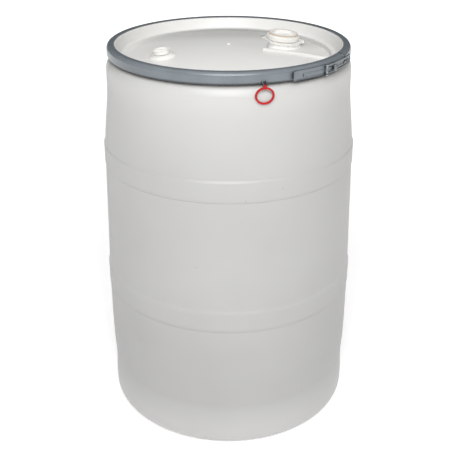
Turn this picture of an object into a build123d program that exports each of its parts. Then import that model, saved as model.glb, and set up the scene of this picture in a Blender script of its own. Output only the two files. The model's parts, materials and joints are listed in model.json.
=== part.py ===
"""Plastic open head drum, 208 litres: a blow-moulded body, a moulded lid with two
screw plugs, and a split steel ring closed by an over-centre lever.

Millimetres, +Z up. The origin is on the drum's axis, on the floor under it.
The lever and the seal are at the front, towards -Y and round to +X.
Angles round the drum are measured from +X towards +Y.
"""
import os
from math import cos, radians, sin

from build123d import *

os.makedirs("parts", exist_ok=True)

# Driving dimensions: heights and radii of the drum
WALL = 4.0
FOOT_OUTER_R = 281.0
CHIME_R = 21.0
BODY_R = 302.0
RIM_TOP_Z = 913.5
NECK_R = 264.0
NECK_WALL = 6.0
BEAD_R = 279.0
BEAD_BOTTOM_Z = 900.0
SHOULDER_R = 288.6
SHOULDER_Z = 893.0

# Rolling hoops: lower edge, upper edge and radius of each
LOWER_HOOP = (322.8, 372.8, 307.4)
UPPER_HOOP = (643.1, 691.2, 302.4)
HOOP_EDGE = 3.5

# Lid
LID_T = 4.0
LID_TOP_Z = 923.6
LID_SEAT_Z = 917.0
LID_SKIRT_R = 281.8
LID_SKIRT_T = 2.2
LID_SKIRT_BOTTOM_Z = 905.0
LID_CORNER = 3.5
LID_MOUTH_R = 262.0
PANEL_R = 251.0
PANEL_Z = 900.0
CROWN_R = 228.0
CROWN_EDGE_Z = 897.5
CROWN_Z = 917.0
SUMP_EDGE_ANGLE = -6.9
SUMP_R = 241.0
SUMP_FLOOR_Z = 889.0
SUMP_LEFT = 88.0
SUMP_POCKET_R = 53.5
SUMP_FRONT = -35.7
LIP_START = 84.0
LIP_T = 4.5
LIP_H = 5.5
LIP_END_R = 256.0
NUB_R = 5.0
NUB_H = 2.4

# Large screw plug, 2 inch, in a toothed flange let into the lid
LARGE_AT = (132.6, 95.5, 901.6)
LARGE_LEAN = (0.087, -0.045)
LARGE_BOSS_R = 41.5
LARGE_BOSS_H = 18.0
LARGE_INSERT_R = 36.0
LARGE_BORE_R = 29.4
LARGE_SHANK_R = 29.0
LARGE_COLLAR_R = 45.0
LARGE_TOOTH = 1.6
LARGE_TAB_R = 52.0
LARGE_TAB_W = 15.0
LARGE_TEETH = 24
LARGE_TOOTH_W = 6.0
LARGE_COLLAR_T = 5.0
LARGE_GASKET_T = 1.6
LARGE_HEAD_R = 40.0
LARGE_HEAD_H = 7.5
LARGE_RIM_R = 35.0
LARGE_RIM_H = 6.4
LARGE_RECESS_R = 26.5
LARGE_RECESS_H = 6.0
LARGE_SHANK_H = 26.0
LARGE_SHANK_WALL = 4.0
LARGE_LUG = (8.0, 6.0)

GASKET_INSET = 2.5
GASKET_FIT = 0.2
HEAD_FIT = 0.03

# Small screw plug, 3/4 inch, threaded straight into the lid
SMALL_AT = (-152.0, -73.5, 913.2)
SMALL_LEAN = (-0.13, -0.063)
SMALL_BOSS_R = 33.0
SMALL_BOSS_TOP_R = 24.2
SMALL_BOSS_H = 7.5
SMALL_BOSS_EDGE = 2.0
SMALL_BORE_R = 13.3
SMALL_SHANK_R = 13.0
SMALL_GASKET_T = 1.2
SMALL_HEAD_R = 19.4
SMALL_HEAD_H = 7.6
SMALL_SHANK_H = 20.0
SMALL_RIM_W = 3.6
SMALL_BAR_W = 5.0
SMALL_SUNK_H = 2.4

# Locking ring: a split steel channel
RING_T = 1.5
RING_R = 285.0
RING_TOP_Z = 926.0
RING_BOTTOM_Z = 897.6
RING_MOUTH_R = 267.5
RING_LIP_R = 273.5
RING_TOP_BEND = 9.0
RING_BOTTOM_BEND = 9.0
RING_GAP_START = -27.0
RING_GAP = 1.3
BRIDGE_T = 1.0
BRIDGE_FIT = 0.2
TONGUE_ANGLES = (-33.0, -20.0)
TONGUE_Z = (907.0, 916.5)

# Over-centre lever, its fulcrum on one ring end and its bail hooked on the other
LATCH_R = 293.0
FULCRUM_ANGLE = -38.5
LINK_ANGLE = -44.5
LEVER_BEND_ANGLE = -59.4
LEVER_FLARE = ((-59.4, 0.0), (-60.8, 1.2), (-61.9, 3.2), (-62.7, 5.6))
LEVER_HINGE_END = -42.2
FULCRUM_BASE = (-41.5, -35.0)
FULCRUM_EARS = (-39.9, -37.1)
CATCH_BASE = (-25.2, -17.5)
CATCH_Z = (906.6, 915.5)
LINK_KNUCKLE_Z = (905.5, 914.5)
RIB_ANGLES = (-57.4, -46.6)
RIB_Z = 909.5
RIB_H = 8.0
RIB_RISE = 2.6
LEVER_IN_R = 287.0
LEVER_T = 2.0
LEVER_BOTTOM_Z = 899.5
LEVER_TOP_Z = 920.5
KNUCKLE_R = 4.2
PIN_R = 2.0
PIN_FIT = 0.1
BASE_T = 1.2
BAIL_IN_R = 290.0
BAIL_T = 2.0
BAIL_BOTTOM_Z = 899.8
BAIL_TOP_Z = 920.2
BAIL_RAIL = 3.8
BAIL_BAR_ANGLE = -22.2
CATCH_ANGLE = -24.4

# Security seal, an oval plastic loop hung under the ring
SEAL_ANGLE = -75.2
SEAL_R = 291.6
SEAL_T = 2.6
SEAL_PIN_Z = 897.5
SEAL_PIN_R = 1.2
SEAL_EYE_R = 2.4
SEAL_EAR_ANGLE = 0.82
SEAL_EAR_T = 1.0
SEAL_EAR_HALF = 1.8
SEAL_ROOT = ((283.4, 901.0), (284.95, 904.2), (RING_R, 906.6), (RING_R, 907.5))
SEAL_PIN_L = 9.8
SEAL_NECK_W = 6.4
SEAL_LOOP_Z = 876.5
SEAL_LOOP_W = 42.0
SEAL_LOOP_H = 37.0
SEAL_STRAND = 4.2


def radial_plane(angle):
    """The upright plane through the axis at this angle: local X is outwards, local Y is up."""
    a = radians(angle)
    return Plane(origin=(0, 0, 0), x_dir=(cos(a), sin(a), 0), z_dir=(sin(a), -cos(a), 0))


def facing_plane(angle, radius, height):
    """The plane that faces outwards at this angle and radius: local Y is up."""
    a = radians(angle)
    origin = (radius * cos(a), radius * sin(a), height)
    return Plane(origin=origin, x_dir=(-sin(a), cos(a), 0), z_dir=(cos(a), sin(a), 0))


def upright_plane(angle, radius, height):
    """A level plane at this angle and radius, its local X pointing outwards."""
    a = radians(angle)
    return Plane(origin=(radius * cos(a), radius * sin(a), height), x_dir=(cos(a), sin(a), 0))


def polar(radius, angle):
    """A point in plan at this radius and angle."""
    return (radius * cos(radians(angle)), radius * sin(radians(angle)))


def plug_plane(at, lean, height):
    """A plane square to a plug's leaning axis, at a height along it from the top of its boss."""
    normal = Vector(lean[0], lean[1], 1).normalized()
    return Plane(origin=Vector(*at) + normal * height, x_dir=(1, 0, -lean[0]), z_dir=normal)


def large_plane(height):
    """A plane across the large plug."""
    return plug_plane(LARGE_AT, LARGE_LEAN, height)


def small_plane(height):
    """A plane across the small plug."""
    return plug_plane(SMALL_AT, SMALL_LEAN, height)


# Drum body: outside from the middle of the base up to the rim, then back down inside
with BuildPart() as drum_body:
    with BuildSketch(Plane.XZ) as body_section:
        with BuildLine():
            hoop_1, top_1, hoop_r_1 = LOWER_HOOP
            hoop_2, top_2, hoop_r_2 = UPPER_HOOP
            Polyline((0, 10), (240, 10), (254, 0), (FOOT_OUTER_R, 0))
            RadiusArc((FOOT_OUTER_R, 0), (BODY_R, CHIME_R), -CHIME_R)
            Spline(
                (BODY_R, CHIME_R),
                (BODY_R + 0.3, 48),
                (BODY_R - 1.4, 95),
                (BODY_R + 1.2, 145),
                (BODY_R + 3.4, 230),
                (hoop_r_1 - 1.6, hoop_1 - HOOP_EDGE),
            )
            Polyline(
                (hoop_r_1 - 1.6, hoop_1 - HOOP_EDGE),
                (hoop_r_1, hoop_1),
                (hoop_r_1, top_1 - HOOP_EDGE),
                (hoop_r_1 - 2.0, top_1 + HOOP_EDGE / 2),
            )
            Spline(
                (hoop_r_1 - 2.0, top_1 + HOOP_EDGE / 2),
                (304.2, 430),
                (302.6, 540),
                (hoop_r_2 - 1.6, hoop_2 - HOOP_EDGE),
            )
            Polyline(
                (hoop_r_2 - 1.6, hoop_2 - HOOP_EDGE),
                (hoop_r_2, hoop_2),
                (hoop_r_2, top_2 - HOOP_EDGE),
                (hoop_r_2 - 2.6, top_2 + HOOP_EDGE / 2),
            )
            Spline(
                (hoop_r_2 - 2.6, top_2 + HOOP_EDGE / 2),
                (296.2, 735),
                (291.2, 784),
                (SHOULDER_R, 820),
                (SHOULDER_R - 0.2, SHOULDER_Z - 24),
                tangents=((-0.08, 1), (0, 1)),
            )
            Spline(
                (SHOULDER_R - 0.2, SHOULDER_Z - 24),
                (SHOULDER_R - 4.6, SHOULDER_Z - 8),
                (SHOULDER_R - 13, SHOULDER_Z),
                tangents=((0, 1), (-1, 0.3)),
            )
            Polyline(
                (SHOULDER_R - 13, SHOULDER_Z),
                (NECK_R + NECK_WALL, SHOULDER_Z + 2.5),
                (NECK_R + NECK_WALL, BEAD_BOTTOM_Z),
                (BEAD_R, BEAD_BOTTOM_Z + 1),
                (BEAD_R, RIM_TOP_Z - 2),
                (BEAD_R - 2, RIM_TOP_Z),
                (NECK_R, RIM_TOP_Z),
                (NECK_R, SHOULDER_Z - 1),
                (NECK_R + 8, SHOULDER_Z - 5),
                (SHOULDER_R - 9.5, SHOULDER_Z - 12),
                (SHOULDER_R - WALL, SHOULDER_Z - 26),
                (SHOULDER_R - WALL, 820),
                (287.2, 784),
                (292.2, 735),
                (hoop_r_2 - 6.2, top_2),
                (hoop_r_2 - 5.4, hoop_2 - 10),
                (298.6, 540),
                (300.2, 430),
                (hoop_r_1 - 5.6, top_1 - 10),
                (hoop_r_1 - 5.6, hoop_1),
                (BODY_R - 0.6, 230),
                (BODY_R - 2.8, 145),
                (BODY_R - 5.4, 95),
                (BODY_R - WALL, 48),
                (BODY_R - WALL, CHIME_R + 2),
                (FOOT_OUTER_R + 11.5, 9.2),
                (FOOT_OUTER_R + 1, WALL + 0.6),
                (FOOT_OUTER_R - 4, WALL),
                (256, WALL),
                (242, 10 + WALL),
                (0, 10 + WALL),
                (0, 10),
            )
        make_face()
    revolve(axis=Axis.Z)
drum_body.part.label = "drum_body"
export_step(drum_body.part, "parts/drum_body.step")

# Everything under the lid's top surface, used to trim what is built up from below
with BuildPart() as under_lid_top:
    with BuildSketch(Plane.XZ):
        with BuildLine():
            Polyline((0, 850), (PANEL_R + LID_T, 850), (PANEL_R + LID_T, PANEL_Z), (PANEL_R, PANEL_Z))
            Polyline((PANEL_R, PANEL_Z), (CROWN_R, CROWN_EDGE_Z))
            ThreePointArc(
                (CROWN_R, CROWN_EDGE_Z),
                (CROWN_R / 2, CROWN_EDGE_Z + 0.75 * (CROWN_Z - CROWN_EDGE_Z)),
                (0, CROWN_Z),
            )
            Line((0, CROWN_Z), (0, 850))
        make_face()
    revolve(axis=Axis.Z)


def sump_outline(growth):
    """Plan of the sump: the right rear of the panel, behind a straight edge and round the plug."""
    a = radians(SUMP_EDGE_ANGLE)
    pocket = (LARGE_AT[0] * cos(a) + LARGE_AT[1] * sin(a), LARGE_AT[1] * cos(a) - LARGE_AT[0] * sin(a))
    with BuildSketch(mode=Mode.PRIVATE) as outline:
        with Locations((SUMP_LEFT, SUMP_FRONT)):
            Rectangle(SUMP_R, 2 * SUMP_R, align=(Align.MIN, Align.MIN))
        with Locations(pocket):
            Circle(SUMP_POCKET_R)
        Circle(SUMP_R, mode=Mode.INTERSECT)
        if growth:
            offset(amount=growth)
    return outline.sketch.rotate(Axis.Z, SUMP_EDGE_ANGLE)


def lip_outline():
    """Plan of the upstanding lip along the sump's front edge, as far as the panel's wall."""
    with BuildSketch(mode=Mode.PRIVATE) as outline:
        with Locations((LIP_START, SUMP_FRONT)):
            Rectangle(SUMP_R, LIP_T, align=(Align.MIN, Align.MAX))
        Circle(LIP_END_R, mode=Mode.INTERSECT)
    return outline.sketch.rotate(Axis.Z, SUMP_EDGE_ANGLE)


with BuildPart() as sump_block:
    with BuildSketch(Plane.XY.offset(SUMP_FLOOR_Z - LID_T)):
        add(sump_outline(LID_T))
    extrude(amount=CROWN_Z - SUMP_FLOOR_Z + LID_T)
    add(under_lid_top.part, mode=Mode.INTERSECT)

with BuildPart() as lip_block:
    with BuildSketch(Plane.XY.offset(PANEL_Z - LID_T)):
        add(lip_outline())
    extrude(amount=CROWN_Z - PANEL_Z + 2 * LID_T)
    add(under_lid_top.part.translate((0, 0, LIP_H)), mode=Mode.INTERSECT)

with BuildPart() as sump_void:
    with BuildSketch(Plane.XY.offset(SUMP_FLOOR_Z)):
        add(sump_outline(0))
    extrude(amount=CROWN_Z - SUMP_FLOOR_Z + 1)

# Lid: a flange that overhangs the rim, a sunk panel with a low crown, and a sump for the large plug
with BuildPart() as lid:
    with BuildSketch(Plane.XZ):
        with BuildLine():
            Polyline(
                (LID_SKIRT_R - LID_CORNER, LID_TOP_Z),
                (LID_MOUTH_R + 2, LID_TOP_Z),
                (LID_MOUTH_R, LID_TOP_Z - 2),
                (PANEL_R + 1.5, PANEL_Z + 1.5),
                (PANEL_R, PANEL_Z),
                (CROWN_R, CROWN_EDGE_Z),
            )
            ThreePointArc(
                (CROWN_R, CROWN_EDGE_Z),
                (CROWN_R / 2, CROWN_EDGE_Z + 0.75 * (CROWN_Z - CROWN_EDGE_Z)),
                (0, CROWN_Z),
            )
            Line((0, CROWN_Z), (0, CROWN_Z - LID_T))
            ThreePointArc(
                (0, CROWN_Z - LID_T),
                (CROWN_R / 2, CROWN_EDGE_Z + 0.75 * (CROWN_Z - CROWN_EDGE_Z) - LID_T),
                (CROWN_R, CROWN_EDGE_Z - LID_T),
            )
            Polyline(
                (CROWN_R, CROWN_EDGE_Z - LID_T),
                (PANEL_R + 3, PANEL_Z - LID_T),
                (PANEL_R + LID_T + 1, PANEL_Z - LID_T + 1.5),
                (NECK_R - 1, LID_SEAT_Z),
                (LID_SKIRT_R - LID_SKIRT_T, LID_SEAT_Z),
                (LID_SKIRT_R - LID_SKIRT_T, LID_SKIRT_BOTTOM_Z),
                (LID_SKIRT_R, LID_SKIRT_BOTTOM_Z),
                (LID_SKIRT_R, LID_TOP_Z - LID_CORNER),
                (LID_SKIRT_R - LID_CORNER, LID_TOP_Z),
            )
        make_face()
    revolve(axis=Axis.Z)
    add(sump_block.part)
    add(sump_void.part, mode=Mode.SUBTRACT)
    add(lip_block.part)
    # Boss of the large plug, from the sump's floor up to the toothed flange
    with BuildSketch(large_plane(0)):
        Circle(LARGE_BOSS_R)
    extrude(amount=-LARGE_BOSS_H)
    with BuildSketch(large_plane(0)):
        Circle(LARGE_INSERT_R)
    extrude(amount=-2 * LARGE_BOSS_H, mode=Mode.SUBTRACT)
    # Flared boss of the small plug
    with BuildSketch(small_plane(-SMALL_BOSS_H)):
        Circle(SMALL_BOSS_R)
    with BuildSketch(small_plane(-SMALL_BOSS_EDGE)):
        Circle(SMALL_BOSS_TOP_R)
    loft()
    with BuildSketch(small_plane(0)):
        Circle(SMALL_BOSS_TOP_R)
    extrude(amount=-SMALL_BOSS_EDGE)
    with BuildSketch(small_plane(0)):
        Circle(SMALL_BOSS_TOP_R - 6)
    extrude(amount=-SMALL_SHANK_H + 4)
    with BuildSketch(small_plane(0)):
        Circle(SMALL_BORE_R)
    extrude(amount=-2 * SMALL_SHANK_H, mode=Mode.SUBTRACT)
    # Moulding nub at the middle
    with BuildSketch(Plane.XY.offset(CROWN_Z - 1)):
        Circle(NUB_R)
    extrude(amount=NUB_H + 1, taper=20)
lid.part.label = "lid"
export_step(lid.part, "parts/lid.step")

# Gasket between the lid's flange and the body's rim
with BuildPart() as lid_gasket:
    with BuildSketch(Plane.XZ):
        with Locations(((NECK_R + 2 + BEAD_R - 2) / 2, (RIM_TOP_Z + LID_SEAT_Z) / 2)):
            Rectangle(BEAD_R - NECK_R - 4, LID_SEAT_Z - RIM_TOP_Z)
    revolve(axis=Axis.Z)
lid_gasket.part.label = "lid_gasket"
export_step(lid_gasket.part, "parts/lid_gasket.step")

# Toothed flange let into the lid's large boss
with BuildPart() as large_plug_flange:
    with BuildSketch(large_plane(0)):
        Circle(LARGE_INSERT_R)
    extrude(amount=-LARGE_BOSS_H)
    with BuildSketch(large_plane(0)):
        Circle(LARGE_COLLAR_R)
        with PolarLocations(LARGE_COLLAR_R, LARGE_TEETH):
            Rectangle(2 * LARGE_TOOTH, LARGE_TOOTH_W)
        Rectangle(2 * LARGE_TAB_R, LARGE_TAB_W)
    extrude(amount=LARGE_COLLAR_T)
    with BuildSketch(large_plane(LARGE_COLLAR_T)):
        Circle(LARGE_BORE_R)
    extrude(amount=-3 * LARGE_BOSS_H, mode=Mode.SUBTRACT)
large_plug_flange.part.label = "large_plug_flange"
export_step(large_plug_flange.part, "parts/large_plug_flange.step")

with BuildPart() as large_plug_gasket:
    with BuildSketch(large_plane(LARGE_COLLAR_T)):
        Circle(LARGE_HEAD_R - GASKET_INSET)
        Circle(LARGE_SHANK_R + GASKET_FIT, mode=Mode.SUBTRACT)
    extrude(amount=LARGE_GASKET_T)
large_plug_gasket.part.label = "large_plug_gasket"
export_step(large_plug_gasket.part, "parts/large_plug_gasket.step")

# Large plug: hollow shank, round head, raised rim with a recess and four wrench lugs
LARGE_HEAD_AT = LARGE_COLLAR_T + LARGE_GASKET_T + HEAD_FIT
LARGE_RIM_TOP = LARGE_HEAD_AT + LARGE_HEAD_H + LARGE_RIM_H
with BuildPart() as large_plug:
    with BuildSketch(large_plane(LARGE_HEAD_AT)):
        Circle(LARGE_SHANK_R)
    extrude(amount=-LARGE_SHANK_H)
    with BuildSketch(large_plane(LARGE_HEAD_AT)):
        Circle(LARGE_HEAD_R)
    extrude(amount=LARGE_HEAD_H)
    with BuildSketch(large_plane(LARGE_HEAD_AT + LARGE_HEAD_H)):
        Circle(LARGE_RIM_R)
    extrude(amount=LARGE_RIM_H)
    with BuildSketch(large_plane(LARGE_RIM_TOP)):
        Circle(LARGE_RECESS_R)
    extrude(amount=-LARGE_RECESS_H, mode=Mode.SUBTRACT)
    with BuildSketch(large_plane(LARGE_HEAD_AT - LARGE_SHANK_H)):
        Circle(LARGE_SHANK_R - LARGE_SHANK_WALL)
    extrude(amount=LARGE_SHANK_H + LARGE_HEAD_H / 2, mode=Mode.SUBTRACT)
    with BuildSketch(large_plane(LARGE_RIM_TOP - LARGE_RECESS_H - 1)):
        with PolarLocations(LARGE_RECESS_R - LARGE_LUG[0] / 2 + 1, 4):
            Rectangle(*LARGE_LUG)
    extrude(amount=LARGE_RECESS_H - 1)
large_plug.part.label = "large_plug"
export_step(large_plug.part, "parts/large_plug.step")

with BuildPart() as small_plug_gasket:
    with BuildSketch(small_plane(0)):
        Circle(SMALL_HEAD_R - GASKET_INSET)
        Circle(SMALL_SHANK_R + GASKET_FIT, mode=Mode.SUBTRACT)
    extrude(amount=SMALL_GASKET_T)
small_plug_gasket.part.label = "small_plug_gasket"
export_step(small_plug_gasket.part, "parts/small_plug_gasket.step")

# Small plug: shank, round head with a sunk middle and a bar across it to turn it by
SMALL_HEAD_AT = SMALL_GASKET_T + HEAD_FIT
with BuildPart() as small_plug:
    with BuildSketch(small_plane(SMALL_HEAD_AT)):
        Circle(SMALL_SHANK_R)
    extrude(amount=-SMALL_SHANK_H)
    with BuildSketch(small_plane(SMALL_HEAD_AT)):
        Circle(SMALL_HEAD_R)
    extrude(amount=SMALL_HEAD_H)
    with BuildSketch(small_plane(SMALL_HEAD_AT + SMALL_HEAD_H)):
        Circle(SMALL_HEAD_R - SMALL_RIM_W)
        Rectangle(2 * SMALL_HEAD_R, SMALL_BAR_W, mode=Mode.SUBTRACT)
    extrude(amount=-SMALL_SUNK_H, mode=Mode.SUBTRACT)
small_plug.part.label = "small_plug"
export_step(small_plug.part, "parts/small_plug.step")

# Locking ring: a channel open inwards, split at the lever
with BuildPart() as locking_ring:
    with BuildSketch(radial_plane(RING_GAP_START + RING_GAP)):
        with BuildLine():
            inner_top_bend = RING_TOP_BEND - RING_T
            inner_bottom_bend = RING_BOTTOM_BEND - RING_T
            Line((RING_MOUTH_R, RING_TOP_Z), (RING_R - RING_TOP_BEND, RING_TOP_Z))
            RadiusArc(
                (RING_R - RING_TOP_BEND, RING_TOP_Z), (RING_R, RING_TOP_Z - RING_TOP_BEND), RING_TOP_BEND
            )
            Line((RING_R, RING_TOP_Z - RING_TOP_BEND), (RING_R, RING_BOTTOM_Z + RING_BOTTOM_BEND))
            RadiusArc(
                (RING_R, RING_BOTTOM_Z + RING_BOTTOM_BEND),
                (RING_R - RING_BOTTOM_BEND, RING_BOTTOM_Z),
                RING_BOTTOM_BEND,
            )
            Polyline(
                (RING_R - RING_BOTTOM_BEND, RING_BOTTOM_Z),
                (RING_LIP_R, RING_BOTTOM_Z),
                (RING_LIP_R, RING_BOTTOM_Z + RING_T),
                (RING_R - RING_BOTTOM_BEND, RING_BOTTOM_Z + RING_T),
            )
            RadiusArc(
                (RING_R - RING_BOTTOM_BEND, RING_BOTTOM_Z + RING_T),
                (RING_R - RING_T, RING_BOTTOM_Z + RING_BOTTOM_BEND),
                -inner_bottom_bend,
            )
            Line(
                (RING_R - RING_T, RING_BOTTOM_Z + RING_BOTTOM_BEND),
                (RING_R - RING_T, RING_TOP_Z - RING_TOP_BEND),
            )
            RadiusArc(
                (RING_R - RING_T, RING_TOP_Z - RING_TOP_BEND),
                (RING_R - RING_TOP_BEND, RING_TOP_Z - RING_T),
                -inner_top_bend,
            )
            Polyline(
                (RING_R - RING_TOP_BEND, RING_TOP_Z - RING_T),
                (RING_MOUTH_R, RING_TOP_Z - RING_T),
                (RING_MOUTH_R, RING_TOP_Z),
            )
        make_face()
    revolve(axis=Axis.Z, revolution_arc=360 - RING_GAP)
locking_ring.part.label = "locking_ring"
export_step(locking_ring.part, "parts/locking_ring.step")


def band(start, end, inner, outer, bottom, top):
    """A curved plate round the drum's axis, from one angle to another."""
    with BuildPart(mode=Mode.PRIVATE) as plate:
        with BuildSketch(radial_plane(start)):
            with Locations(((inner + outer) / 2, (bottom + top) / 2)):
                Rectangle(outer - inner, top - bottom)
        revolve(axis=Axis.Z, revolution_arc=end - start)
    return plate.part


def post(angle, radius, r, bottom, top):
    """An upright cylinder at a place round the drum."""
    with BuildPart(mode=Mode.PRIVATE) as cylinder:
        with BuildSketch(upright_plane(angle, radius, bottom)):
            Circle(r)
        extrude(amount=top - bottom)
    return cylinder.part


# Tongue that carries the ring's shape across its gap, welded inside one end
with BuildPart() as ring_tongue:
    tongue_out = RING_R - RING_T - BRIDGE_FIT
    add(band(*TONGUE_ANGLES, tongue_out - BRIDGE_T, tongue_out, *TONGUE_Z))
ring_tongue.part.label = "ring_tongue"
export_step(ring_tongue.part, "parts/ring_tongue.step")

# Fulcrum bracket: a base welded to the ring's end, with two ears for the lever's pin
EAR_T = 1.3
EAR_LOW_Z = 905.0
EAR_HIGH_Z = 915.0
with BuildPart() as fulcrum_bracket:
    add(band(*FULCRUM_BASE, RING_R, RING_R + BASE_T, EAR_LOW_Z, EAR_HIGH_Z))
    for low in (EAR_LOW_Z, EAR_HIGH_Z - EAR_T):
        add(band(*FULCRUM_EARS, RING_R + BASE_T / 2, LATCH_R, low, low + EAR_T))
        add(post(FULCRUM_ANGLE, LATCH_R, KNUCKLE_R, low, low + EAR_T))
    add(post(FULCRUM_ANGLE, LATCH_R, PIN_R, EAR_LOW_Z - 1, EAR_HIGH_Z + 1), mode=Mode.SUBTRACT)
fulcrum_bracket.part.label = "fulcrum_bracket"
export_step(fulcrum_bracket.part, "parts/fulcrum_bracket.step")

with BuildPart() as fulcrum_pin:
    add(post(FULCRUM_ANGLE, LATCH_R, PIN_R, EAR_LOW_Z - 0.9, EAR_HIGH_Z + 0.9))
    for low in (EAR_LOW_Z - 0.9, EAR_HIGH_Z):
        add(post(FULCRUM_ANGLE, LATCH_R, PIN_R + 1.2, low, low + 0.9))
fulcrum_pin.part.label = "fulcrum_pin"
export_step(fulcrum_pin.part, "parts/fulcrum_pin.step")

# Catch bracket on the other ring end, with a lip that the bail hooks over
with BuildPart() as catch_bracket:
    lip_z = (CATCH_Z[0] + 1, CATCH_Z[1] - 1)
    add(band(*CATCH_BASE, RING_R, RING_R + BASE_T, *CATCH_Z))
    add(band(CATCH_ANGLE - 0.35, CATCH_ANGLE + 0.05, RING_R + BASE_T / 2, LATCH_R + 2.5, *lip_z))
    add(band(CATCH_ANGLE - 0.35, CATCH_ANGLE + 0.6, LATCH_R + 1, LATCH_R + 2.5, *lip_z))
catch_bracket.part.label = "catch_bracket"
export_step(catch_bracket.part, "parts/catch_bracket.step")

# Lever: a curved handle with a pressed rib, a knuckle on the fulcrum and one for the bail
LEVER_OUT_R = LEVER_IN_R + LEVER_T
KNUCKLE_LOW_Z = EAR_LOW_Z + EAR_T + 0.3
KNUCKLE_HIGH_Z = EAR_HIGH_Z - EAR_T - 0.3
with BuildPart() as lever:
    add(band(LEVER_BEND_ANGLE, LEVER_HINGE_END, LEVER_IN_R, LEVER_OUT_R, LEVER_BOTTOM_Z, LEVER_TOP_Z))
    with BuildSketch(Plane.XY.offset(LEVER_BOTTOM_Z)):
        with BuildLine():
            Spline(*[polar(LEVER_IN_R + rise, angle) for angle, rise in LEVER_FLARE])
            Line(polar(LEVER_IN_R, LEVER_BEND_ANGLE), polar(LEVER_OUT_R, LEVER_BEND_ANGLE))
            Spline(*[polar(LEVER_OUT_R + rise, angle) for angle, rise in LEVER_FLARE])
            end_angle, end_rise = LEVER_FLARE[-1]
            Line(polar(LEVER_OUT_R + end_rise, end_angle), polar(LEVER_IN_R + end_rise, end_angle))
        make_face()
    extrude(amount=LEVER_TOP_Z - LEVER_BOTTOM_Z)
    knuckle_z = (KNUCKLE_LOW_Z, KNUCKLE_HIGH_Z)
    add(band(LEVER_HINGE_END - 0.2, FULCRUM_ANGLE, LEVER_IN_R + 1, LEVER_OUT_R, *knuckle_z))
    with BuildSketch(radial_plane(RIB_ANGLES[0])):
        with Locations((LEVER_OUT_R - 0.4, RIB_Z)):
            Ellipse(RIB_RISE, RIB_H / 2)
        with Locations((LEVER_IN_R + 0.4, RIB_Z)):
            Rectangle(2 * RIB_RISE, RIB_H, align=(Align.MAX, Align.CENTER), mode=Mode.SUBTRACT)
    revolve(axis=Axis.Z, revolution_arc=RIB_ANGLES[1] - RIB_ANGLES[0])
    add(post(FULCRUM_ANGLE, LATCH_R, KNUCKLE_R, KNUCKLE_LOW_Z, KNUCKLE_HIGH_Z))
    add(band(LINK_ANGLE - 0.6, LINK_ANGLE + 0.6, LEVER_OUT_R - 0.5, LATCH_R, *LINK_KNUCKLE_Z))
    add(post(LINK_ANGLE, LATCH_R, KNUCKLE_R - 1, *LINK_KNUCKLE_Z))
    add(
        post(FULCRUM_ANGLE, LATCH_R, PIN_R + PIN_FIT, KNUCKLE_LOW_Z - 1, KNUCKLE_HIGH_Z + 1),
        mode=Mode.SUBTRACT,
    )
    add(
        post(LINK_ANGLE, LATCH_R, PIN_R + PIN_FIT, LINK_KNUCKLE_Z[0] - 1, LINK_KNUCKLE_Z[1] + 1),
        mode=Mode.SUBTRACT,
    )
lever.part.label = "lever"
export_step(lever.part, "parts/lever.step")

with BuildPart() as link_pin:
    add(post(LINK_ANGLE, LATCH_R, PIN_R, BAIL_BOTTOM_Z - 1, BAIL_TOP_Z + 1))
    for low in (BAIL_BOTTOM_Z - 1, BAIL_TOP_Z + 0.2):
        add(post(LINK_ANGLE, LATCH_R, PIN_R + 1.2, low, low + 0.8))
link_pin.part.label = "link_pin"
export_step(link_pin.part, "parts/link_pin.step")

# Bail: two rails from the lever's pin to a bar that hooks over the catch
BAIL_OUT_R = BAIL_IN_R + BAIL_T
with BuildPart() as link_bail:
    for low in (BAIL_BOTTOM_Z, BAIL_TOP_Z - BAIL_RAIL):
        add(band(LINK_ANGLE, BAIL_BAR_ANGLE + 0.8, BAIL_IN_R, BAIL_OUT_R, low, low + BAIL_RAIL))
        add(post(LINK_ANGLE, LATCH_R, KNUCKLE_R - 1, low, low + BAIL_RAIL))
    add(band(BAIL_BAR_ANGLE, BAIL_BAR_ANGLE + 0.8, BAIL_IN_R, BAIL_OUT_R, BAIL_BOTTOM_Z, BAIL_TOP_Z))
    add(
        post(LINK_ANGLE, LATCH_R, PIN_R + PIN_FIT, BAIL_BOTTOM_Z - 1, BAIL_TOP_Z + 1),
        mode=Mode.SUBTRACT,
    )
link_bail.part.label = "link_bail"
export_step(link_bail.part, "parts/link_bail.step")

# Lug under the ring for the security seal: two ears and their cross pin
with BuildPart() as seal_lug:
    for side in (-1, 1):
        with BuildSketch(radial_plane(SEAL_ANGLE + side * SEAL_EAR_ANGLE)):
            with BuildLine():
                Polyline(
                    *SEAL_ROOT,
                    (RING_R + 2, SEAL_ROOT[-1][1]),
                    (SEAL_R + SEAL_EAR_HALF, SEAL_PIN_Z + SEAL_EAR_HALF),
                    (SEAL_R + SEAL_EAR_HALF, SEAL_PIN_Z - SEAL_EAR_HALF),
                    (SEAL_R - SEAL_EAR_HALF, SEAL_PIN_Z - SEAL_EAR_HALF),
                    SEAL_ROOT[0],
                )
            make_face()
        extrude(amount=SEAL_EAR_T / 2, both=True)
    with BuildSketch(radial_plane(SEAL_ANGLE)):
        with Locations((SEAL_R, SEAL_PIN_Z)):
            Circle(SEAL_PIN_R)
    extrude(amount=SEAL_PIN_L / 2, both=True)
seal_lug.part.label = "seal_lug"
export_step(seal_lug.part, "parts/seal_lug.step")

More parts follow.
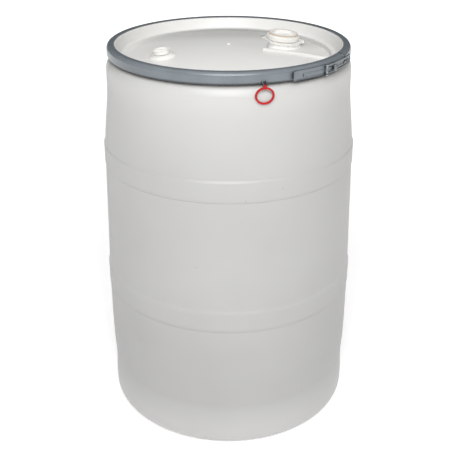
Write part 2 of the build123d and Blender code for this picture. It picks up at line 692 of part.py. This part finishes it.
# Security seal: an oval loop with a short neck and an eye on the lug's pin
with BuildPart() as security_seal:
    with BuildSketch(facing_plane(SEAL_ANGLE, SEAL_R - SEAL_T / 2, SEAL_LOOP_Z)):
        Ellipse(SEAL_LOOP_W / 2, SEAL_LOOP_H / 2)
        Ellipse(SEAL_LOOP_W / 2 - SEAL_STRAND, SEAL_LOOP_H / 2 - SEAL_STRAND, mode=Mode.SUBTRACT)
        with Locations((0, (SEAL_LOOP_H / 2 + SEAL_PIN_Z - SEAL_LOOP_Z) / 2)):
            Rectangle(SEAL_NECK_W, SEAL_PIN_Z - SEAL_LOOP_Z - SEAL_LOOP_H / 2 + 3)
    extrude(amount=SEAL_T)
    with BuildSketch(radial_plane(SEAL_ANGLE)):
        with Locations((SEAL_R, SEAL_PIN_Z)):
            Circle(SEAL_EYE_R)
    extrude(amount=SEAL_NECK_W / 2, both=True)
    with BuildSketch(radial_plane(SEAL_ANGLE)):
        with Locations((SEAL_R, SEAL_PIN_Z)):
            Circle(SEAL_PIN_R + PIN_FIT)
    extrude(amount=SEAL_NECK_W, both=True, mode=Mode.SUBTRACT)
security_seal.part.label = "security_seal"
export_step(security_seal.part, "parts/security_seal.step")
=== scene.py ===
"""Open head plastic drum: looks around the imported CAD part."""

import json
import math
from collections import namedtuple

import bpy
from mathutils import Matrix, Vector

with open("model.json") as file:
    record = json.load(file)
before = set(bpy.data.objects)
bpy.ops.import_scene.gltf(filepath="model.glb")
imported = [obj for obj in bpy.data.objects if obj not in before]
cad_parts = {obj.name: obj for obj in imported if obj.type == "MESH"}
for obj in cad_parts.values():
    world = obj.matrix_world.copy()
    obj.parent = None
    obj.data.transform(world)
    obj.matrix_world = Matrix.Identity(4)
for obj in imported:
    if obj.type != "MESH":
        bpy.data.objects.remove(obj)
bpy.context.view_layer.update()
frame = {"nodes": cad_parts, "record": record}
nodes = frame["nodes"]
scene = bpy.context.scene

# ---------------------------------------------------------------- node helpers
VECTOR = "ShaderNodeVectorMath"
SCALAR = "ShaderNodeMath"
# Indices of a Mix node's first value, second value and result, by its data type
MIX_SOCKETS = {"RGBA": (6, 7, 2), "FLOAT": (2, 3, 0)}


def put(tree, target, value):
    """Links another node's socket to target, or sets target's own value."""
    if hasattr(value, "is_output"):
        tree.links.new(value, target)
    else:
        target.default_value = value


def node(tree, kind, **sockets):
    """Adds a node; sockets maps an input's name to a number or to another socket."""
    made = tree.nodes.new(kind)
    for socket, value in sockets.items():
        put(tree, made.inputs[socket.replace("_", " ")], value)
    return made


def calc(tree, kind, operation, *values):
    """Adds a math node and fills its inputs in order."""
    made = tree.nodes.new(kind)
    made.operation = operation
    for index, value in enumerate(values):
        put(tree, made.inputs[index], value)
    return made


def scalar(tree, operation, *values):
    return calc(tree, SCALAR, operation, *values).outputs[0]


def split(tree, vector):
    return node(tree, "ShaderNodeSeparateXYZ", Vector=vector)


def ranged(tree, value, from_min, from_max, to_min, to_max):
    """Maps value from one range to another and holds it at both ends."""
    made = node(tree, "ShaderNodeMapRange", Value=value, From_Min=from_min, From_Max=from_max,
                To_Min=to_min, To_Max=to_max)
    return made.outputs["Result"]


def mixed(tree, data_type, factor, first, second):
    made = tree.nodes.new("ShaderNodeMix")
    made.data_type = data_type
    first_at, second_at, result_at = MIX_SOCKETS[data_type]
    put(tree, made.inputs[0], factor)
    put(tree, made.inputs[first_at], first)
    put(tree, made.inputs[second_at], second)
    return made.outputs[result_at]


def scaled(tree, colour, factor):
    made = calc(tree, VECTOR, "SCALE", colour)
    put(tree, made.inputs["Scale"], factor)
    return made.outputs["Vector"]


def relief(tree, height, strength, distance, **below):
    made = node(tree, "ShaderNodeBump", Strength=strength, Distance=distance, Height=height, **below)
    return made.outputs["Normal"]


# ---------------------------------------------------------------- materials
DRIFT_DETAIL, DRIFT_ROUGHNESS = 3.0, 0.55
DRIFT_LOW, DRIFT_HIGH = 0.35, 0.65
GRAIN_DETAIL, GRAIN_ROUGHNESS = 4.0, 0.6

# slot is the CAD's name for the material, which Blender may number when it makes a second one.
# tint and normal are the sockets that feed the shader until something is laid over them.
Look = namedtuple("Look", "slot material tree shader place tint normal")


def new_material(name, roughness, **sockets):
    """A node material with its plain numbers set on the shader's own sockets."""
    material = bpy.data.materials.new(name)
    material.use_nodes = True
    shader = material.node_tree.nodes["Principled BSDF"]
    shader.inputs["Roughness"].default_value = roughness
    for socket, value in sockets.items():
        shader.inputs[socket.replace("_", " ")].default_value = value
    return material, shader


def mottled(name, colour, dark, roughness, drift, grain, strength, distance, **sockets):
    """Slow colour drift from dark to colour, and a fine moulded grain in the bump."""
    material, shader = new_material(name, roughness, **sockets)
    tree = material.node_tree
    place = node(tree, "ShaderNodeTexCoord").outputs["Object"]
    cloud = node(tree, "ShaderNodeTexNoise", Vector=place, Scale=drift, Detail=DRIFT_DETAIL,
                 Roughness=DRIFT_ROUGHNESS)
    ramp = node(tree, "ShaderNodeValToRGB", Fac=cloud.outputs["Fac"])
    ends = ((DRIFT_LOW, dark), (DRIFT_HIGH, colour))
    for stop, (position, shade) in zip(ramp.color_ramp.elements, ends):
        stop.position = position
        stop.color = (*shade, 1)
    fine = node(tree, "ShaderNodeTexNoise", Vector=place, Scale=grain, Detail=GRAIN_DETAIL,
                Roughness=GRAIN_ROUGHNESS)
    normal = relief(tree, fine.outputs["Fac"], strength, distance)
    look = Look(name, material, tree, shader, place, ramp.outputs["Color"], normal)
    repaint(look, look.tint)
    put(tree, shader.inputs["Normal"], normal)
    return look


def repaint(look, tint):
    put(look.tree, look.shader.inputs["Base Color"], tint)


# Blow-moulded body: milky, with the mould's parting line and a few dark specks in the resin
PARTING_NORMAL = (-0.309, 0.951, 0.0)
PARTING_CORE, PARTING_EDGE, PARTING_HEIGHT = 0.0005, 0.0025, 0.002
# Painted light and shade by height: lightest near the shoulder and round the foot, greyest just
# above the foot, with narrow painted highlight and shade bands at the two hoops. The levels were set
# by comparing this light's render with the photo's brightness; they are painted shading, not a
# measured resin colour.
PAINTED_SHADING_BY_HEIGHT = (
    (0.0, 1.12), (0.045, 1.10), (0.087, 1.0), (0.113, 0.91), (0.164, 0.905), (0.258, 0.93),
    (0.316, 0.965), (0.323, 0.91), (0.33, 0.975), (0.366, 0.985), (0.373, 1.05), (0.38, 0.985),
    (0.45, 1.0), (0.637, 1.01), (0.643, 0.97), (0.649, 1.01), (0.7, 1.02), (0.76, 1.05),
    (0.82, 1.09), (0.86, 1.17),
)
# The ramp holds each tone as a share of this one, and the colour is scaled back up by it
PAINTED_SHADING_TOP = 1.2
SPECK_SCALE, SPECK_CORE, SPECK_EDGE, SPECK_STRENGTH = 15.0, 0.015, 0.035, 0.6
SPECK_COLOUR = (0.22, 0.2, 0.17, 1)

body = mottled("natural_body", (0.368, 0.366, 0.36), (0.34, 0.337, 0.328), 0.42,
               2.2, 420.0, 0.12, 0.0004)
across = calc(body.tree, VECTOR, "DOT_PRODUCT", body.place, PARTING_NORMAL).outputs["Value"]
parting = ranged(body.tree, scalar(body.tree, "ABSOLUTE", across), PARTING_CORE, PARTING_EDGE,
                 1.0, 0.0)
put(body.tree, body.shader.inputs["Normal"],
    relief(body.tree, parting, 1.0, PARTING_HEIGHT, Normal=body.normal))

# Painted light and shade: the body's colour is scaled by a ramp of levels by height
height_shading_ramp = node(body.tree, "ShaderNodeValToRGB", Fac=split(body.tree, body.place).outputs["Z"])
stops = height_shading_ramp.color_ramp.elements
stops[0].position, stops[1].position = PAINTED_SHADING_BY_HEIGHT[0][0], PAINTED_SHADING_BY_HEIGHT[-1][0]
for height_m, _ in PAINTED_SHADING_BY_HEIGHT[1:-1]:
    stops.new(height_m)
for stop, (_, level) in zip(stops, PAINTED_SHADING_BY_HEIGHT):
    stop.color = (level / PAINTED_SHADING_TOP, level / PAINTED_SHADING_TOP, level / PAINTED_SHADING_TOP, 1)
painted_body_colour = calc(body.tree, VECTOR, "MULTIPLY", body.tint, height_shading_ramp.outputs["Color"]).outputs["Vector"]
painted_body_colour = scaled(body.tree, painted_body_colour, PAINTED_SHADING_TOP)
cells = node(body.tree, "ShaderNodeTexVoronoi", Vector=body.place, Scale=SPECK_SCALE)
speck = ranged(body.tree, cells.outputs["Distance"], SPECK_CORE, SPECK_EDGE, SPECK_STRENGTH, 0.0)
repaint(body, mixed(body.tree, "RGBA", speck, painted_body_colour, SPECK_COLOUR))

# Lid: the sunk panel is tinted greyer than its wall and flange, most of all towards the back. The
# tint stands in for shade on the panel that this light does not give.
PANEL_FRONT_Y, PANEL_BACK_Y, PANEL_BACK_TINT = 0.05, 0.235, 0.42
PANEL_R, WALL_R = 0.236, 0.249
# A faint glow on the boss of the large plug, which this light leaves darker than in the photo
BOSS_AT = (0.1335, 0.0955, 0.0)
BOSS_R, BOSS_FADE_R, BOSS_GLOW = 0.043, 0.046, 0.24
BOSS_GLOW_COLOUR = (1.0, 0.99, 0.97, 1)

lid = mottled("natural_lid", (0.64, 0.637, 0.622), (0.6, 0.595, 0.578), 0.36,
              4.0, 300.0, 0.1, 0.0004, Specular_IOR_Level=0.35)
lid_split = split(lid.tree, lid.place)
flat_place = node(lid.tree, "ShaderNodeCombineXYZ", X=lid_split.outputs["X"],
                  Y=lid_split.outputs["Y"]).outputs["Vector"]
reach = calc(lid.tree, VECTOR, "LENGTH", flat_place).outputs["Value"]
panel = ranged(lid.tree, lid_split.outputs["Y"], PANEL_FRONT_Y, PANEL_BACK_Y, 1.0, PANEL_BACK_TINT)
outside = ranged(lid.tree, reach, PANEL_R, WALL_R, 0.0, 1.0)
repaint(lid, scaled(lid.tree, lid.tint, mixed(lid.tree, "FLOAT", outside, panel, 1.0)))
boss_offset = calc(lid.tree, VECTOR, "DISTANCE", flat_place, BOSS_AT).outputs["Value"]
lid.shader.inputs["Emission Color"].default_value = BOSS_GLOW_COLOUR
put(lid.tree, lid.shader.inputs["Emission Strength"],
    ranged(lid.tree, boss_offset, BOSS_R, BOSS_FADE_R, BOSS_GLOW, 0.0))

# Plugs: white, with a thin tan line round the top of the large plug's rim
PLUG_TOP = (0.1344, 0.0946, 0.9220)
PLUG_AXIS = (0.0866, -0.0448, 0.9952)
RIM_LINE_R, RIM_LINE_FULL_R = 0.0325, 0.034
RIM_LINE_LOW, RIM_LINE_FULL_LOW = -0.003, -0.0015
RIM_LINE_COLOUR = (0.55, 0.42, 0.3, 1)

plug = mottled("plug_white", (0.72, 0.712, 0.69), (0.69, 0.68, 0.65), 0.36,
               30.0, 500.0, 0.1, 0.0003)
from_top = calc(plug.tree, VECTOR, "SUBTRACT", plug.place, PLUG_TOP).outputs["Vector"]
plug_height = calc(plug.tree, VECTOR, "DOT_PRODUCT", from_top, PLUG_AXIS).outputs["Value"]
sideways = calc(plug.tree, VECTOR, "CROSS_PRODUCT", from_top, PLUG_AXIS).outputs["Vector"]
plug_radius = calc(plug.tree, VECTOR, "LENGTH", sideways).outputs["Value"]
near_rim = ranged(plug.tree, plug_radius, RIM_LINE_R, RIM_LINE_FULL_R, 0.0, 1.0)
near_top = ranged(plug.tree, plug_height, RIM_LINE_LOW, RIM_LINE_FULL_LOW, 0.0, 1.0)
tan_line = scalar(plug.tree, "MULTIPLY", near_rim, near_top)
repaint(plug, mixed(plug.tree, "RGBA", tan_line, plug.tint, RIM_LINE_COLOUR))

# Ring paint: darkened at its lower edge and in crevices, for the contact shade under the ring
EDGE_LOW_Z, EDGE_HIGH_Z, EDGE_TINT = 0.8995, 0.9050, 0.22
CREVICE_REACH, CREVICE_SAMPLES = 0.009, 8
CREVICE_DEEP, CREVICE_OPEN, CREVICE_TINT = 0.35, 0.85, 0.12

ring = mottled("ring_paint", (0.133, 0.152, 0.167), (0.118, 0.135, 0.148), 0.28,
               24.0, 900.0, 0.12, 0.0002)
low_edge = ranged(ring.tree, split(ring.tree, ring.place).outputs["Z"], EDGE_LOW_Z, EDGE_HIGH_Z,
                  EDGE_TINT, 1.0)
crevice = node(ring.tree, "ShaderNodeAmbientOcclusion", Distance=CREVICE_REACH)
crevice.samples = CREVICE_SAMPLES
openness = ranged(ring.tree, crevice.outputs["AO"], CREVICE_DEEP, CREVICE_OPEN, CREVICE_TINT, 1.0)
repaint(ring, scaled(ring.tree, ring.tint, scalar(ring.tree, "MULTIPLY", low_edge, openness)))

steel = mottled("bright_steel", (0.64, 0.65, 0.66), (0.56, 0.57, 0.58), 0.3,
                90.0, 1500.0, 0.15, 0.0001, Metallic=1.0)
rubber = mottled("gasket_rubber", (0.04, 0.04, 0.04), (0.025, 0.025, 0.025), 0.75,
                 60.0, 900.0, 0.3, 0.0004)
tan = mottled("gasket_tan", (0.55, 0.41, 0.24), (0.47, 0.34, 0.19), 0.6,
              60.0, 900.0, 0.2, 0.0003)
red = mottled("seal_red", (0.36, 0.002, 0.005), (0.31, 0.002, 0.004), 0.42,
              60.0, 700.0, 0.08, 0.0002, Specular_IOR_Level=0.3)

MATERIALS = {look.slot: look.material
             for look in (body, lid, plug, ring, steel, rubber, tan, red)}
SLOT_OF = {part["node"]: part["material_slot"] for part in frame["record"]["subparts"]}
for name, obj in nodes.items():
    obj.data.materials.clear()
    obj.data.materials.append(MATERIALS[SLOT_OF[name]])

# ---------------------------------------------------------------- floor
FLOOR = 30.0
FLOOR_DROP = 0.0005
FLOOR_COLOUR, FLOOR_ROUGHNESS = (0.92, 0.92, 0.92, 1), 0.9
# The floor glows a little near the drum and more further out
GLOW_NEAR, GLOW_FAR, GLOW_NEAR_STRENGTH, GLOW_FAR_STRENGTH = 0.8, 4.5, 0.3, 0.85

floor_mesh = bpy.data.meshes.new("floor")
corners = [(-FLOOR, -FLOOR, 0), (FLOOR, -FLOOR, 0), (FLOOR, FLOOR, 0), (-FLOOR, FLOOR, 0)]
floor_mesh.from_pydata(corners, [], [(0, 1, 2, 3)])
floor = bpy.data.objects.new("floor", floor_mesh)
scene.collection.objects.link(floor)
floor_mat, floor_shader = new_material("floor_pale", FLOOR_ROUGHNESS, Base_Color=FLOOR_COLOUR,
                                       Emission_Color=(1, 1, 1, 1))
floor_tree = floor_mat.node_tree
floor_place = node(floor_tree, "ShaderNodeTexCoord").outputs["Object"]
floor_reach = calc(floor_tree, VECTOR, "LENGTH", floor_place).outputs["Value"]
put(floor_tree, floor_shader.inputs["Emission Strength"],
    ranged(floor_tree, floor_reach, GLOW_NEAR, GLOW_FAR, GLOW_NEAR_STRENGTH, GLOW_FAR_STRENGTH))
floor_mesh.materials.append(floor_mat)
floor.location.z = -FLOOR_DROP

# ---------------------------------------------------------------- sky
# Soft light from overhead and from the sides, none from below, and less from behind the drum.
# The camera sees the backdrop brighter by BACKDROP, which lights nothing.
OVERHEAD, SIDEWAYS, BEHIND_LOSS, BACKDROP = 0.9, 0.5, 0.8, 1.2

world = bpy.data.worlds.new("studio")
world.use_nodes = True
sky = world.node_tree
background = sky.nodes["Background"]
background.inputs["Color"].default_value = (1.0, 1.0, 1.0, 1)
direction = split(sky, node(sky, "ShaderNodeTexCoord").outputs["Generated"])
up = scalar(sky, "MAXIMUM", direction.outputs["Z"], 0.0)
behind = scalar(sky, "MAXIMUM", direction.outputs["Y"], 0.0)
overhead = scalar(sky, "MULTIPLY", scalar(sky, "POWER", up, 2.0), OVERHEAD)
from_sides = scalar(sky, "MULTIPLY", scalar(sky, "POWER", direction.outputs["X"], 2.0), SIDEWAYS)
lit = scalar(sky, "MULTIPLY", scalar(sky, "ADD", overhead, from_sides),
             scalar(sky, "GREATER_THAN", up, 0.0))
loss = scalar(sky, "MULTIPLY", behind, BEHIND_LOSS)
shaded = scalar(sky, "MULTIPLY", lit, scalar(sky, "SUBTRACT", 1.0, loss))
seen = node(sky, "ShaderNodeLightPath").outputs["Is Camera Ray"]
backdrop = scalar(sky, "MULTIPLY", seen, BACKDROP)
put(sky, background.inputs["Strength"], scalar(sky, "ADD", shaded, backdrop))
scene.world = world

# ---------------------------------------------------------------- lamp and camera
KEY_AT, KEY_AIM, KEY_SIZE, KEY_WATTS = (0.0, -2.4, 2.75), (0, 0, 0.85), 2.4, 118.0

key_data = bpy.data.lights.new("key", "AREA")
key_data.shape = "DISK"
key_data.size = KEY_SIZE
key_data.energy = KEY_WATTS
key = bpy.data.objects.new("key", key_data)
scene.collection.objects.link(key)
key.location = KEY_AT
key.rotation_euler = (Vector(KEY_AIM) - Vector(KEY_AT)).to_track_quat("-Z", "Y").to_euler()
key.visible_camera = False

CAMERA_AT, CAMERA_DOWN_DEG = (0.00084, -1.9370, 1.3868), 22.218
LENS_MM, SENSOR_MM, SHIFT_Y = 65.946, 36.0, -0.1277

camera_data = bpy.data.cameras.new("camera")
camera_data.sensor_width = SENSOR_MM
camera_data.lens = LENS_MM
camera_data.shift_y = SHIFT_Y
camera = bpy.data.objects.new("camera", camera_data)
scene.collection.objects.link(camera)
camera.location = CAMERA_AT
camera.rotation_euler = (math.radians(90 - CAMERA_DOWN_DEG), 0, 0)
scene.camera = camera
scene.view_settings.view_transform = "Standard"
